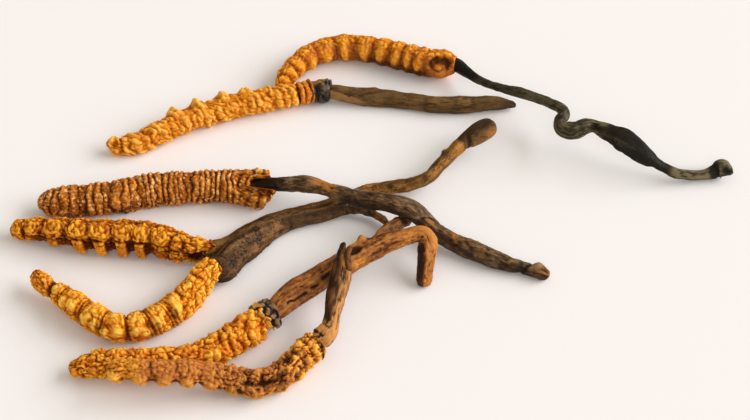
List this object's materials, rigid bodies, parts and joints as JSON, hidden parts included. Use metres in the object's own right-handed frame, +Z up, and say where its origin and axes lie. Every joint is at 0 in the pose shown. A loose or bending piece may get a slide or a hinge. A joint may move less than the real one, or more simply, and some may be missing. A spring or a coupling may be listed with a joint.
{
  "type": "cordyceps bundle",
  "caption": "Loose bundle of dried larva fungi: ringed golden larva bodies with thin dark woody stalks that cross on the table.",
  "frame": {"origin": "middle of the bundle's footprint, on the table that it lies on", "axes": "+Z up from the table, +X from the larvae's tails towards the stalks' tips, +Y away from the front of the bundle, towards its uppermost larva"},
  "size_m": [0.1317, 0.0917, 0.0098],
  "materials": {
    "larva_1": "dried ringed skin, golden to brown, dark in the creases",
    "larva_2": "dried ringed skin, golden to brown, dark in the creases",
    "larva_3": "dried ringed skin, golden to brown, dark in the creases",
    "larva_4": "dried ringed skin, golden to brown, dark in the creases",
    "larva_5": "dried ringed skin, golden to brown, dark in the creases",
    "larva_6": "dried ringed skin, golden to brown, dark in the creases",
    "larva_7": "dried ringed skin, golden to brown, dark in the creases",
    "head_2": "glossy black shell",
    "head_6": "glossy black shell",
    "stalk_1": "dried woody stalk, fine lengthwise wrinkles",
    "stalk_2": "dried woody stalk, fine lengthwise wrinkles",
    "stalk_3": "dried woody stalk, fine lengthwise wrinkles",
    "stalk_4": "dried woody stalk, fine lengthwise wrinkles",
    "stalk_5": "dried woody stalk, fine lengthwise wrinkles",
    "stalk_6": "dried woody stalk, fine lengthwise wrinkles",
    "stalk_7": "dried woody stalk, fine lengthwise wrinkles",
    "stalk_6_branch": "dried woody stalk, fine lengthwise wrinkles",
    "stalk_7_branch": "dried woody stalk, fine lengthwise wrinkles"
  },
  "bodies": {
    "root": {"larva_1": "larva_1", "larva_2": "larva_2", "larva_3": "larva_3", "larva_4": "larva_4", "larva_5": "larva_5", "larva_6": "larva_6", "larva_7": "larva_7", "head_2": "head_2", "head_6": "head_6", "stalk_1": "stalk_1", "stalk_2": "stalk_2", "stalk_3": "stalk_3", "stalk_4": "stalk_4", "stalk_5": "stalk_5", "stalk_6": "stalk_6", "stalk_7": "stalk_7", "stalk_6_branch": "stalk_6_branch", "stalk_7_branch": "stalk_7_branch"}
  },
  "joints": []
}
